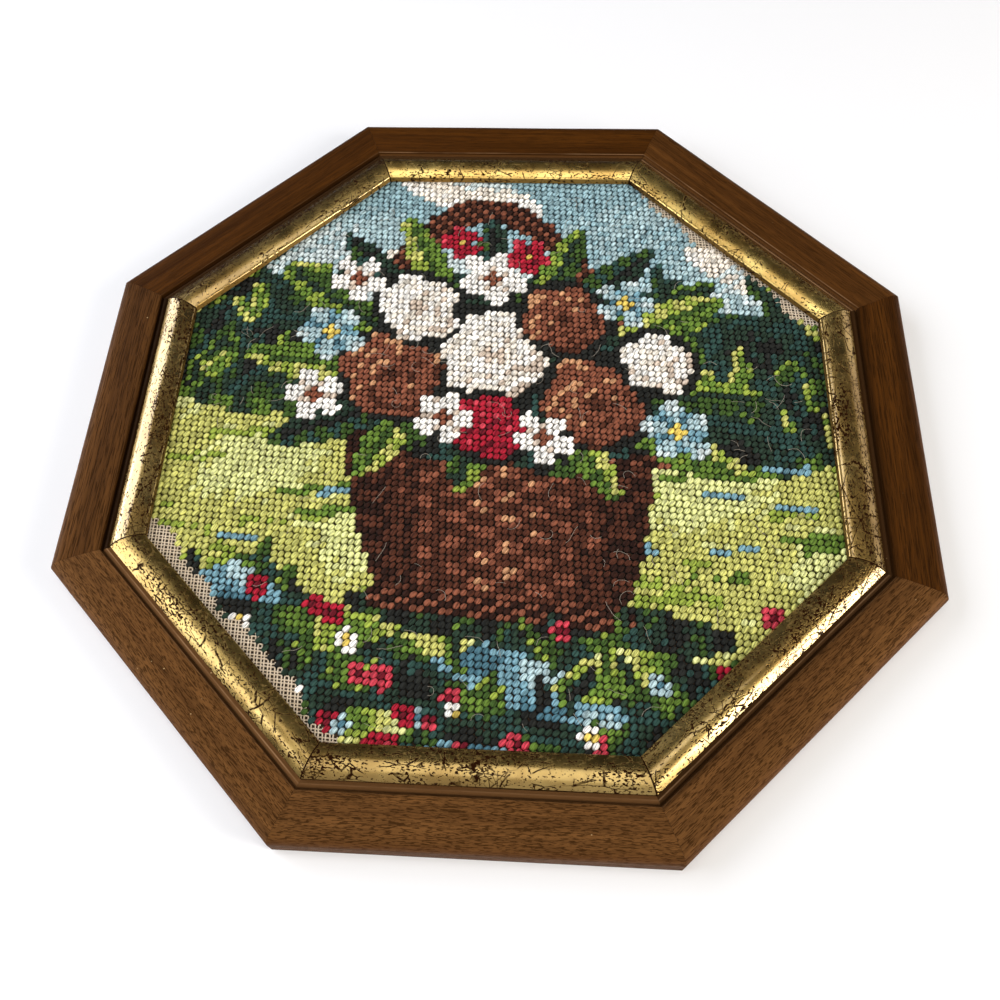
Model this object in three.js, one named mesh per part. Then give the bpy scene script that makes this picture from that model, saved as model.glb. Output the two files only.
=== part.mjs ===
// A framed needlepoint picture: an octagonal wooden frame, gilt slips inside it and a stretched wool cloth.
// Millimetres. The frame lies on its back, with +Z up out of the picture and +Y towards the picture's top.
import * as THREE from 'three';

// Plan sizes, each measured from the centre square to a side of the octagon.
const sideCount = 8;
const outerReach = 154.5;
const ridgeReach = 134.4;
const openingReach = 122.3;
const clothReach = 131.3;
const ledgeReach = 127;

// Heights above the surface that the frame's back rests on.
const shoulderTop = 12;
const faceInnerTop = 11;
const grooveFloor = 9.2;
const ledgeTop = 6.7;
const slipInnerTop = 11.9;
const slipOuterTop = 11.1;
const clothThickness = 2;

// Shaping of the two mouldings.
const shoulderWidth = 4.2;
const shoulderDrop = 4.2;
const footChamfer = 0.8;
const ridgeWidth = 2.4;
const ridgeHeight = 1.1;
const ridgeInnerAngle = 0.7 * Math.PI;
const grooveWidth = 0.4;
const grooveSlope = 0.4;
const slipBulge = 2;
const slipLipRound = 0.7;
const curveSteps = 12;

// Pieces that touch stay this far apart.
const gap = 0.3;

const halfSideAngle = Math.PI / sideCount;
const sideTangent = Math.tan(halfSideAngle);

const stainedWood = new THREE.MeshStandardMaterial({ color: 0x6b4427, roughness: 0.5, metalness: 0 });
const agedGilt = new THREE.MeshStandardMaterial({ color: 0xb8923f, roughness: 0.35, metalness: 0.8 });
const woolCloth = new THREE.MeshStandardMaterial({ color: 0x74804f, roughness: 0.95, metalness: 0 });

// The wood's section, as points of (reach, height), from the back's inner edge round the outside to the ledge.
function mouldingSection() {
  const section = new THREE.Shape();
  section.moveTo(ledgeReach, 0);
  section.lineTo(outerReach - footChamfer, 0);
  section.lineTo(outerReach, footChamfer);
  section.lineTo(outerReach, shoulderTop - shoulderDrop);
  section.absellipse(
    outerReach - shoulderWidth,
    shoulderTop - shoulderDrop,
    shoulderWidth,
    shoulderDrop,
    0,
    Math.PI / 2,
    false,
    0,
  );
  const ridgeOuter = ridgeReach + ridgeWidth;
  section.lineTo(ridgeOuter + grooveWidth + grooveSlope, faceInnerTop);
  section.lineTo(ridgeOuter + grooveWidth, grooveFloor);
  section.absellipse(
    ridgeReach + ridgeWidth / 2,
    grooveFloor,
    ridgeWidth / 2,
    ridgeHeight,
    0,
    ridgeInnerAngle,
    false,
    0,
  );
  section.lineTo(ridgeReach, grooveFloor + ridgeHeight * Math.sin(ridgeInnerAngle));
  section.lineTo(ridgeReach, ledgeTop);
  section.lineTo(ledgeReach, ledgeTop);
  section.closePath();
  return section;
}

// The gilt slip's section: a low arc on top, and a rebate under its inner half for the cloth's edge.
function slipSection() {
  const outer = ridgeReach - gap;
  const clothTop = ledgeTop + gap + clothThickness;
  const arcEnd = openingReach + slipLipRound;
  const middle = new THREE.Vector2((outer + arcEnd) / 2, (slipOuterTop + slipInnerTop) / 2);
  const chord = new THREE.Vector2(arcEnd - outer, slipInnerTop - slipOuterTop);
  // A quadratic curve rises half as far as its control point, so the bulge is doubled there.
  const control = middle.clone().addScaledVector(
    new THREE.Vector2(chord.y, -chord.x).normalize(),
    2 * slipBulge,
  );
  const section = new THREE.Shape();
  section.moveTo(openingReach, clothTop + gap);
  section.lineTo(clothReach + gap, clothTop + gap);
  section.lineTo(clothReach + gap, ledgeTop + gap);
  section.lineTo(outer, ledgeTop + gap);
  section.lineTo(outer, slipOuterTop);
  section.quadraticCurveTo(control.x, control.y, arcEnd, slipInnerTop);
  section.lineTo(openingReach, slipInnerTop - slipLipRound);
  section.closePath();
  return section;
}

// One straight bar of a section, its two ends cut on the octagon's mitres, lying across the +Y side.
function mitredBar(section) {
  const bar = new THREE.ExtrudeGeometry(section, { depth: 1, bevelEnabled: false, curveSegments: curveSteps });
  const place = bar.attributes.position;
  const mitreGap = gap / 2 / Math.cos(halfSideAngle);
  for (let i = 0; i < place.count; i += 1) {
    const reach = place.getX(i);
    const height = place.getY(i);
    const halfLength = reach * sideTangent - mitreGap;
    const end = place.getZ(i) > 0.5 ? 1 : -1;
    place.setXYZ(i, end * halfLength, reach, height);
  }
  bar.computeVertexNormals();
  return bar;
}

// Eight bars of one section, numbered clockwise as seen from above, starting at the picture's top.
function ring(section, name, material) {
  const pieces = new THREE.Group();
  const geometry = mitredBar(section);
  for (let side = 0; side < sideCount; side += 1) {
    const piece = new THREE.Mesh(geometry, material);
    piece.name = `${name}_${side + 1}`;
    piece.rotation.z = -side * 2 * halfSideAngle;
    pieces.add(piece);
  }
  return pieces;
}

// The cloth: an octagonal sheet whose edge lies on the wood's ledge, under the slips.
function cloth() {
  const outline = new THREE.Shape();
  const cornerReach = clothReach / Math.cos(halfSideAngle);
  for (let corner = 0; corner < sideCount; corner += 1) {
    const angle = (2 * corner + 1) * halfSideAngle;
    const point = [cornerReach * Math.cos(angle), cornerReach * Math.sin(angle)];
    if (corner === 0) {
      outline.moveTo(...point);
    } else {
      outline.lineTo(...point);
    }
  }
  outline.closePath();
  const sheet = new THREE.ExtrudeGeometry(outline, { depth: clothThickness, bevelEnabled: false });
  const piece = new THREE.Mesh(sheet, woolCloth);
  piece.name = 'needlepoint_cloth';
  piece.position.z = ledgeTop + gap;
  return piece;
}

const picture = new THREE.Group();
picture.add(ring(mouldingSection(), 'moulding', stainedWood));
picture.add(ring(slipSection(), 'slip', agedGilt));
picture.add(cloth());

export default picture;
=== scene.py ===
import math

import bmesh
import bpy
import numpy as np
from mathutils import Matrix, Vector, noise


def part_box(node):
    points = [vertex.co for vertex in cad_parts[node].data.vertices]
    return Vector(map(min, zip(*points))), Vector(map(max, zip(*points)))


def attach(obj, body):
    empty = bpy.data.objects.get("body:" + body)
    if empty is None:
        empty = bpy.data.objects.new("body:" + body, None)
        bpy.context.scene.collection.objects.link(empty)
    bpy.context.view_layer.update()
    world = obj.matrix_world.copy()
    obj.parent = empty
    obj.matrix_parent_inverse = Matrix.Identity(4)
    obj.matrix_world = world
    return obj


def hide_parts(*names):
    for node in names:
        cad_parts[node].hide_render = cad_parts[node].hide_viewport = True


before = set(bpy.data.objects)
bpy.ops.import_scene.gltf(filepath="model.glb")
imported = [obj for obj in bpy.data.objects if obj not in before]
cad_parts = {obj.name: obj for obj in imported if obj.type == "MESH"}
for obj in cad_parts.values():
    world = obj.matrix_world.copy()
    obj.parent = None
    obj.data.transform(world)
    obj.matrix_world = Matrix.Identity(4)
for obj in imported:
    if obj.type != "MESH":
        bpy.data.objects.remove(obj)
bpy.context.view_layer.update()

print("frame loaded:", len(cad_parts), "nodes")

mm = 0.001
sideCount = 8
halfSide = math.pi / sideCount
sideTangent = math.tan(halfSide)

# plan reaches, from the centre square to a side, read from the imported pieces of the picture's top side
mouldingLow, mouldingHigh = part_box("moulding_1")
slipLow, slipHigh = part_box("slip_1")
clothLow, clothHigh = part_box("needlepoint_cloth")
outerReach = mouldingHigh.y
ledgeReach = mouldingLow.y
slipOuterReach = slipHigh.y
openingReach = slipLow.y
clothReach = clothHigh.y
shoulderTop = mouldingHigh.z
mitreGap = 0.015 * mm


def colour(text):
    # a web colour as the linear colour that a shader takes
    parts = [int(text[k : k + 2], 16) / 255 for k in (0, 2, 4)]
    linear = [c / 12.92 if c <= 0.04045 else ((c + 0.055) / 1.055) ** 2.4 for c in parts]
    return (*linear, 1.0)


def mixed(pair, share):
    first, second = (colour(text) for text in pair)
    return tuple(a * (1 - share) + b * share for a, b in zip(first, second))


def stretchedColour(text, share):
    # a colour made darker or lighter by a share
    return (*(min(c * share, 1.0) for c in colour(text)[:3]), 1.0)


# node helpers, shared by the materials and the geometry trees


def put(tree, kind, sockets=None, **settings):
    node = tree.nodes.new(kind)
    for name, value in settings.items():
        setattr(node, name, value)
    for key, value in (sockets or {}).items():
        if isinstance(value, bpy.types.NodeSocket):
            tree.links.new(value, node.inputs[key])
        else:
            node.inputs[key].default_value = value
    return node


def calc(tree, operation, first, second=0.0):
    return put(tree, "ShaderNodeMath", {0: first, 1: second}, operation=operation).outputs[0]


def vectorCalc(tree, operation, first, second):
    return put(tree, "ShaderNodeVectorMath", {0: first, 1: second}, operation=operation).outputs[0]


def between(tree, value, low, high, lowOut=0.0, highOut=1.0):
    # a smooth step from lowOut to highOut while value goes from low to high
    sockets = {"Value": value, "From Min": low, "From Max": high, "To Min": lowOut, "To Max": highOut}
    return put(tree, "ShaderNodeMapRange", sockets, interpolation_type="SMOOTHSTEP").outputs[0]


def blendColours(tree, factor, first, second, mode="MIX"):
    sockets = {0: factor, 6: first, 7: second}
    return put(tree, "ShaderNodeMix", sockets, data_type="RGBA", blend_type=mode).outputs[2]


def noiseAt(tree, place, scale, detail=3.0, rough=0.55):
    sockets = {"Vector": place, "Scale": scale, "Detail": detail, "Roughness": rough}
    return put(tree, "ShaderNodeTexNoise", sockets).outputs["Fac"]


def stretched(tree, place, scale):
    return vectorCalc(tree, "MULTIPLY", place, scale)


def newMaterial(name):
    material = bpy.data.materials.new(name)
    material.use_nodes = True
    return material, material.node_tree, material.node_tree.nodes["Principled BSDF"]


def sidePlace(tree, side, slide):
    # x along the side, y out from the centre, z up, with a slide that gives each piece its own pattern
    place = put(tree, "ShaderNodeTexCoord").outputs["Object"]
    turned = put(tree, "ShaderNodeMapping", {"Vector": place, "Rotation": (0, 0, side * 2 * halfSide)})
    local = turned.outputs[0]
    return local, vectorCalc(tree, "ADD", local, slide)


def mitreDistance(tree, local):
    # how far a point is from the nearer mitre, measured across it
    axes = put(tree, "ShaderNodeSeparateXYZ", {0: local})
    along = calc(tree, "ABSOLUTE", axes.outputs["X"])
    edge = calc(tree, "MULTIPLY", axes.outputs["Y"], sideTangent)
    return calc(tree, "MULTIPLY", calc(tree, "SUBTRACT", edge, along), math.cos(halfSide))


def meshPiece(name, build, smoothAngle=math.radians(32)):
    # build fills a bmesh; the piece's object stays at the origin
    shape = bmesh.new()
    build(shape)
    bmesh.ops.recalc_face_normals(shape, faces=shape.faces)
    mesh = bpy.data.meshes.new(name)
    shape.to_mesh(mesh)
    shape.free()
    mesh.shade_smooth()
    mesh.set_sharp_from_angle(angle=smoothAngle)
    piece = bpy.data.objects.new(name, mesh)
    bpy.context.scene.collection.objects.link(piece)
    return piece


# camera at the photograph's angle
viewSettings = {
    "target": (-0.0061, -0.0529, 0.012),
    "azimuth": 7.72,
    "elevation": 63.99,
    "roll": -5.06,
    "distance": 0.3418,
    "lens": 35.56,
    "shift": (0.0284, 0.05),
}


def buildCamera(s):
    azimuth, elevation, roll = (math.radians(s[k]) for k in ("azimuth", "elevation", "roll"))
    back = Vector(
        (
            math.sin(azimuth) * math.cos(elevation),
            -math.cos(azimuth) * math.cos(elevation),
            math.sin(elevation),
        )
    )
    right = Vector((0, 0, 1)).cross(back).normalized()
    up = back.cross(right)
    rolledRight = right * math.cos(roll) + up * math.sin(roll)
    rolledUp = up * math.cos(roll) - right * math.sin(roll)
    data = bpy.data.cameras.new("pictureCamera")
    data.lens = s["lens"]
    data.shift_x, data.shift_y = s["shift"]
    data.clip_start, data.clip_end = 0.01, 10
    camera = bpy.data.objects.new("pictureCamera", data)
    turn = Matrix((rolledRight, rolledUp, back)).transposed()
    camera.matrix_world = Matrix.Translation(Vector(s["target"]) + back * s["distance"]) @ turn.to_4x4()
    bpy.context.scene.collection.objects.link(camera)
    bpy.context.scene.camera = camera


buildCamera(viewSettings)
print("camera placed")


# floor, windows and room light
stageSettings = {
    "floorHalf": 2.5,
    "floorColour": "fafbfd",
    "room": ("c4beb4", 0.075),
    "lamps": [
        # name, place, width, height, watts, colour
        ("leftWindow", (-1.1, 0.25, 0.6), 1.55, 1.22, 19.5, "f2f5ff"),
        ("leftPane", (-1.0, 0.1, 0.12), 0.7, 0.24, 1.3, "fffaf0"),
        ("rightWindow", (1.1, -0.36, 0.48), 0.46, 0.7, 11, "fffaf4"),
        ("farWindow", (1.0, 0.66, 0.3), 0.7, 0.6, 1.0, "fff4ea"),
        ("skylight", (-0.03, -0.3, 1.4), 1.2, 1.3, 9.6, "fffcf6"),
        ("nearWall", (-0.05, -1.05, 0.75), 1.5, 0.9, 3, "fffaf2"),
    ],
}


def buildStage(s):
    def floorShape(shape):
        bmesh.ops.create_grid(shape, x_segments=4, y_segments=4, size=s["floorHalf"])
        bmesh.ops.translate(shape, verts=shape.verts, vec=(0, 0, -0.05 * mm))

    floor = meshPiece("paleFloor", floorShape)
    material, tree, shader = newMaterial("palePaper")
    place = put(tree, "ShaderNodeTexCoord").outputs["Object"]
    grain = noiseAt(tree, place, 900, 2)
    lump = put(tree, "ShaderNodeBump", {"Height": grain, "Strength": 0.05, "Distance": 0.0002})
    tree.links.new(lump.outputs[0], shader.inputs["Normal"])
    shader.inputs["Base Color"].default_value = colour(s["floorColour"])
    shader.inputs["Roughness"].default_value = 0.9
    shader.inputs["Specular IOR Level"].default_value = 0.1
    floor.data.materials.append(material)
    for name, place, width, height, watts, tint in s["lamps"]:
        data = bpy.data.lights.new(name, "AREA")
        data.shape = "RECTANGLE"
        data.size, data.size_y = width, height
        data.energy = watts
        data.color = colour(tint)[:3]
        lamp = bpy.data.objects.new(name, data)
        lamp.location = place
        lamp.rotation_euler = (-Vector(place)).to_track_quat("-Z", "Y").to_euler()
        bpy.context.scene.collection.objects.link(lamp)
    world = bpy.data.worlds.new("room")
    world.use_nodes = True
    tint, strength = s["room"]
    world.node_tree.nodes["Background"].inputs["Color"].default_value = colour(tint)
    world.node_tree.nodes["Background"].inputs["Strength"].default_value = strength
    bpy.context.scene.world = world
    bpy.context.scene.view_settings.view_transform = "Standard"


buildStage(stageSettings)
print("stage built")


# the swept pieces of the frame: a section of (reach, height) points run along one side and mitred


def arcPoints(centre, radii, start, end, steps):
    angles = np.linspace(start, end, steps + 1)
    return [(centre[0] + radii[0] * math.cos(a), centre[1] + radii[1] * math.sin(a)) for a in angles]


def filletedCorner(before, corner, after, radius, steps=4):
    # a small round on one corner of a section, as a quadratic curve between two cut points
    at = Vector(corner)
    start = at + (Vector(before) - at).normalized() * radius
    end = at + (Vector(after) - at).normalized() * radius
    points = []
    for k in range(steps + 1):
        t = k / steps
        points.append(tuple(start * (1 - t) ** 2 + at * 2 * t * (1 - t) + end * t * t))
    return points


def sectionNormals(section):
    # outward normals of a section that runs counter-clockwise
    points = np.array(section)
    along = np.roll(points, -1, axis=0) - np.roll(points, 1, axis=0)
    across = np.stack([along[:, 1], -along[:, 0]], axis=1)
    return across / np.linalg.norm(across, axis=1)[:, None]


def sweepSide(shape, section, side, s):
    # rings of the section, closer together near the mitres, whose rims are slightly rounded
    normals = sectionNormals(section)
    points = np.array(section)
    turn = Matrix.Rotation(-side * 2 * halfSide, 3, "Z")
    stations = [(-1, 0.0, s["rim"]), (-1, s["rim"], 0.0)]
    stations += [(float(t), 0.0, 0.0) for t in np.linspace(-1, 1, s["steps"] + 1)[1:-1]]
    stations += [(1, s["rim"], 0.0), (1, 0.0, s["rim"])]
    rings = []
    for share, inset, shrink in stations:
        ring = []
        for (reach, height), (outward, upward) in zip(points, normals):
            half = reach * sideTangent - mitreGap - inset
            wave = noise.noise(Vector((share * half * 30, reach * 60, height * 60 + side * 7.3)))
            # the underside and the mitres stay true
            steady = min(height / s["trueBelow"], 1) ** 2 * (1 - abs(share) ** 8)
            swell = wave * s["unevenness"] * steady - shrink
            place = Vector((share * half, reach + outward * swell, height + upward * swell))
            ring.append(shape.verts.new(turn @ place))
        rings.append(ring)
    for ring, after in zip(rings, rings[1:]):
        for k in range(len(ring)):
            nextK = (k + 1) % len(ring)
            shape.faces.new((ring[k], ring[nextK], after[nextK], after[k]))
    shape.faces.new(rings[0])
    shape.faces.new(list(reversed(rings[-1])))


# wooden mouldings
mouldingSettings = {
    "shoulder": (4.2 * mm, 4.2 * mm),
    "faceInnerTop": 11 * mm,
    "faceCrown": 0.18 * mm,
    "grooveFloor": 9.2 * mm,
    "groove": 0.4 * mm,
    "grooveSlope": 0.4 * mm,
    "ridge": (2.4 * mm, 1.1 * mm),
    "ridgeInnerAngle": 0.7 * math.pi,
    "ridgeGap": 0.3 * mm,
    "slot": 0.08 * mm,
    "ledgeTop": 6.7 * mm,
    "footRound": 0.8 * mm,
    "arrisRound": 0.3 * mm,
    "rim": 0.05 * mm,
    "steps": 22,
    "unevenness": 0.09 * mm,
    "trueBelow": 3 * mm,
}


def mouldingSection(s):
    ridgeReach = slipOuterReach + s["ridgeGap"]
    innerWall = slipOuterReach + s["slot"]
    width, drop = s["shoulder"]
    ridgeWide, ridgeHigh = s["ridge"]
    ridgeOuter = ridgeReach + ridgeWide
    arris = (ridgeOuter + s["groove"] + s["grooveSlope"], s["faceInnerTop"])
    grooveCorner = (ridgeOuter + s["groove"], s["grooveFloor"])
    foot = s["footRound"]
    section = [(ledgeReach, 0), (outerReach - foot, 0)]
    section += arcPoints((outerReach - foot, foot), (foot, foot), -math.pi / 3, 0, 4)
    section += [(outerReach, (foot + shoulderTop - drop) / 2)]
    section += arcPoints((outerReach - width, shoulderTop - drop), (width, drop), 0, math.pi / 2, 16)
    faceStart = (outerReach - width, shoulderTop)
    for t in (0.25, 0.5, 0.75):
        crown = s["faceCrown"] * 4 * t * (1 - t)
        reach = faceStart[0] + (arris[0] - faceStart[0]) * t
        section.append((reach, faceStart[1] + (arris[1] - faceStart[1]) * t + crown))
    section += filletedCorner(faceStart, arris, grooveCorner, s["arrisRound"])
    section += [grooveCorner]
    middle = (ridgeReach + ridgeWide / 2, s["grooveFloor"])
    section += arcPoints(middle, (ridgeWide / 2, ridgeHigh), 0, s["ridgeInnerAngle"], 14)
    section += [(innerWall, section[-1][1]), (innerWall, s["ledgeTop"]), (ledgeReach, s["ledgeTop"])]
    return section


def woodMaterial(side, s):
    material, tree, shader = newMaterial(f"stainedWood{side + 1}")
    local, place = sidePlace(tree, side, (side * 0.37, side * 0.011, side * 0.23))
    axes = put(tree, "ShaderNodeSeparateXYZ", {0: local})
    reach, height = axes.outputs["Y"], axes.outputs["Z"]
    wander = noiseAt(tree, stretched(tree, place, (9, 40, 40)), 1, 2)
    drift = put(tree, "ShaderNodeCombineXYZ", {"Y": calc(tree, "MULTIPLY", wander, 0.004)}).outputs[0]
    grainPlace = vectorCalc(tree, "ADD", place, drift)
    bands = noiseAt(tree, stretched(tree, grainPlace, (5, 130, 130)), 1, 4, 0.6)
    fibres = noiseAt(tree, stretched(tree, grainPlace, (s["streakRate"][side], 900, 900)), 1, 4, 0.7)
    pores = noiseAt(tree, stretched(tree, grainPlace, (s["poreRate"][side], 3000, 3000)), 1, 2, 0.5)
    poreMask = between(tree, pores, s["poreLow"], s["poreHigh"], 0.0, s["poreShare"][side])
    # the far sides lean to the darker, redder stain: partly stain, partly painted shade
    tone = put(tree, "ShaderNodeValToRGB", {0: bands})
    tone.color_ramp.elements[0].position = 0.3
    tone.color_ramp.elements[0].color = mixed(s["dark"], s["stainAndShadeShare"][side])
    tone.color_ramp.elements[1].position = 0.7
    tone.color_ramp.elements[1].color = mixed(s["light"], s["stainAndShadeShare"][side])
    fibreShade = between(tree, fibres, 0.32, 0.68, 0.74, 1.22)
    grey = put(tree, "ShaderNodeCombineXYZ", {0: fibreShade, 1: fibreShade, 2: fibreShade}).outputs[0]
    skin = blendColours(tree, 1.0, tone.outputs[0], grey, "MULTIPLY")
    skin = blendColours(tree, poreMask, skin, colour(s["pore"]))
    # the outer round is worn a little redder
    outerEdge = between(tree, reach, outerReach - 2.4 * mm, outerReach - 0.3 * mm, 0.0, 0.35)
    skin = blendColours(tree, outerEdge, skin, colour(s["edge"]))
    # the small round ridge beside the gilt is smooth, with painted light and shade by side, and the groove
    # is painted dark as shade
    ridgeInner = slipOuterReach + mouldingSettings["ridgeGap"]
    ridgeEdge = ridgeInner + mouldingSettings["ridge"][0]
    ridgeMask = between(tree, reach, ridgeEdge + 0.35 * mm, ridgeEdge - 0.1 * mm)
    # painted light and shade: the ridge's colour is scaled by side to how lit it is
    ridgeColour = stretchedColour(s["ridge"], s["ridgeLightShare"][side])
    skin = blendColours(tree, calc(tree, "MULTIPLY", ridgeMask, 0.85), skin, ridgeColour)
    # painted highlight: a thin pale line along the ridge's crest, broken up by noise
    toCrest = calc(tree, "ABSOLUTE", calc(tree, "SUBTRACT", reach, ridgeInner + 1.1 * mm))
    highlightBreakup = between(tree, noiseAt(tree, stretched(tree, place, (60, 200, 200)), 1, 3), 0.35, 0.6, 0.3, 1.0)
    crestHighlight = calc(tree, "MULTIPLY", between(tree, toCrest, 0.32 * mm, 0.08 * mm), s["crestHighlightShare"][side])
    skin = blendColours(tree, calc(tree, "MULTIPLY", crestHighlight, highlightBreakup), skin, colour(s["arris"]))
    # painted shade in the groove, made paler on the far sides as painted bounce light
    low = between(tree, height, 10.7 * mm, 10.0 * mm)
    toGroove = calc(tree, "ABSOLUTE", calc(tree, "SUBTRACT", reach, ridgeEdge + 0.3 * mm))
    groove = calc(tree, "MULTIPLY", between(tree, toGroove, 0.8 * mm, 0.2 * mm), low)
    grooveShadeColour = mixed(s["groove"], s["grooveBounceTone"][side])
    skin = blendColours(tree, calc(tree, "MULTIPLY", groove, s["grooveShadeShare"][side]), skin, grooveShadeColour)
    # a soft shade where the face rolls into the groove
    rollOff = between(tree, reach, ridgeEdge + 3.2 * mm, ridgeEdge + 0.8 * mm, 0.0, s["rollShare"][side])
    skin = blendColours(tree, rollOff, skin, colour(s["shadeAndGlue"]))
    # painted highlight: a thin pale line on the face's inner arris, broken up here and there
    toArris = calc(tree, "ABSOLUTE", calc(tree, "SUBTRACT", reach, ridgeEdge + 0.95 * mm))
    arris = calc(tree, "MULTIPLY", between(tree, toArris, 0.26 * mm, 0.06 * mm), s["arrisHighlightShare"][side])
    arris = calc(tree, "MULTIPLY", arris, between(tree, height, 10.6 * mm, 10.85 * mm))
    arris = calc(tree, "MULTIPLY", arris, highlightBreakup)
    skin = blendColours(tree, arris, skin, colour(s["arris"]))
    # glue line at the mitres
    joint = between(tree, mitreDistance(tree, local), 0.16 * mm, 0.05 * mm)
    skin = blendColours(tree, calc(tree, "MULTIPLY", joint, 0.15), skin, colour(s["shadeAndGlue"]))
    # dust
    dust = put(tree, "ShaderNodeTexVoronoi", {"Vector": place, "Scale": 170.0})
    speck = between(tree, dust.outputs["Distance"], 0.05, 0.02)
    rare = between(tree, noiseAt(tree, place, 60, 1), 0.46, 0.54, 0.0, s["dustShare"][side])
    skin = blendColours(tree, calc(tree, "MULTIPLY", speck, rare), skin, colour(s["dust"]))
    tree.links.new(skin, shader.inputs["Base Color"])
    shader.inputs["Specular IOR Level"].default_value = 0.14
    shader.inputs["Specular Tint"].default_value = colour(s["varnish"])
    rough = between(tree, fibres, 0.25, 0.75, s["rough"] + 0.09, s["rough"] - 0.06)
    rough = calc(tree, "ADD", rough, calc(tree, "MULTIPLY", poreMask, 0.2))
    tree.links.new(rough, shader.inputs["Roughness"])
    relief = calc(tree, "SUBTRACT", calc(tree, "MULTIPLY", fibres, 0.25), poreMask)
    relief = calc(tree, "MULTIPLY", relief, between(tree, ridgeMask, 0.0, 1.0, 1.0, 0.2))
    bump = put(tree, "ShaderNodeBump", {"Height": relief, "Strength": 0.55, "Distance": 0.12 * mm})
    tree.links.new(bump.outputs[0], shader.inputs["Normal"])
    return material


woodSettings = {
    "dark": ["57381c", "351b05"],
    "light": ["704b27", "4f2c0a"],
    "varnish": "d09a62",
    # the lists below go clockwise from the picture's top side
    # how far a side is towards the second, darker and redder stain, partly painted shade on the far sides
    "stainAndShadeShare": [1.0, 0.7, 0.95, 0.0, 0.05, 0.0, 0.5, 0.95],
    # how bright the ridge beside the gilt is painted by side (painted light and shade), how strong the
    # painted highlight on its crest is, and how much dust it has
    "ridgeLightShare": [0.42, 0.6, 0.6, 0.65, 1.1, 1.35, 0.05, 0.42],
    "crestHighlightShare": [0.0, 0.6, 0.0, 0.7, 0.15, 0.7, 0.0, 0.0],
    "dustShare": [0.3, 0.3, 0.2, 0.4, 1.0, 0.9, 1.0, 0.4],
    # how dark the groove is painted as shade, how much paler painted bounce light it gets, and how dark the
    # face rolls into the groove (painted shade)
    "grooveShadeShare": [0.95, 0.95, 0.7, 0.7, 0.5, 0.6, 0.9, 0.5],
    "grooveBounceTone": [1.0, 1.0, 0.35, 0.35, 0.1, 0.1, 0.0, 0.3],
    "rollShare": [0.0, 0.0, 0.5, 0.5, 0.15, 0.1, 0.3, 0.25],
    # how dark the pores are, the rates of pores and streaks along the side, and how strong the painted
    # highlight on the face's arris is
    "poreShare": [0.4, 0.5, 0.7, 0.7, 0.7, 0.7, 0.7, 0.45],
    "poreRate": [160, 150, 110, 330, 390, 390, 120, 150],
    "streakRate": [18, 18, 14, 30, 45, 40, 12, 16],
    "arrisHighlightShare": [0.4, 0.45, 0.0, 0.1, 0.05, 0.2, 0.0, 0.1],
    "pore": "241203",
    "edge": "5c3618",
    "ridge": "5c3f24",
    # dark of the painted shade where the face rolls into the groove, and of the glue line at the mitres
    "shadeAndGlue": "1c0e04",
    # the groove's painted shade, and the paler painted bounce light mixed into it
    "groove": ["1a0d05", "6b4726"],
    # the pale of the painted highlights on the face's arris and on the ridge's crest
    "arris": "a5805c",
    "dust": "d2b07c",
    "poreLow": 0.51,
    "poreHigh": 0.58,
    "rough": 0.58,
}


def buildMouldings():
    section = mouldingSection(mouldingSettings)
    for side in range(sideCount):
        number = side + 1
        piece = meshPiece(
            f"woodenSide_{number}", lambda shape: sweepSide(shape, section, side, mouldingSettings)
        )
        piece.data.materials.append(woodMaterial(side, woodSettings))
        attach(piece, "root")
        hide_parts(f"moulding_{number}")


buildMouldings()
print("wooden sides built")


# gilt slips
slipSettings = {
    "bulge": 2 * mm,
    "outerTop": 11.1 * mm,
    "innerTop": 11.9 * mm,
    "lipRound": 0.7 * mm,
    "lipSteps": 7,
    "clothTop": 9 * mm,
    "gap": 0.3 * mm,
    "rim": 0.14 * mm,
    "steps": 40,
    "unevenness": 0.07 * mm,
    "trueBelow": 3 * mm,
}


def slipSection(s):
    outer = (slipOuterReach, s["outerTop"])
    arcEnd = (openingReach + s["lipRound"], s["innerTop"])
    start, end = Vector(outer), Vector(arcEnd)
    chord = end - start
    control = (start + end) / 2 + Vector((chord.y, -chord.x)).normalized() * 2 * s["bulge"]
    rebate = s["clothTop"] + s["gap"]
    section = [(openingReach, rebate), (clothReach + s["gap"], rebate)]
    section += [(clothReach + s["gap"], slipLow.z), (slipOuterReach, slipLow.z)]
    for k in range(29):
        t = k / 28
        section.append(tuple(start * (1 - t) ** 2 + control * 2 * t * (1 - t) + end * t * t))
    lip = s["lipRound"]
    start, end = 0.6 * math.pi, math.pi
    section += arcPoints((openingReach + lip, s["innerTop"] - lip), (lip, lip), start, end, s["lipSteps"])
    return section


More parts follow.
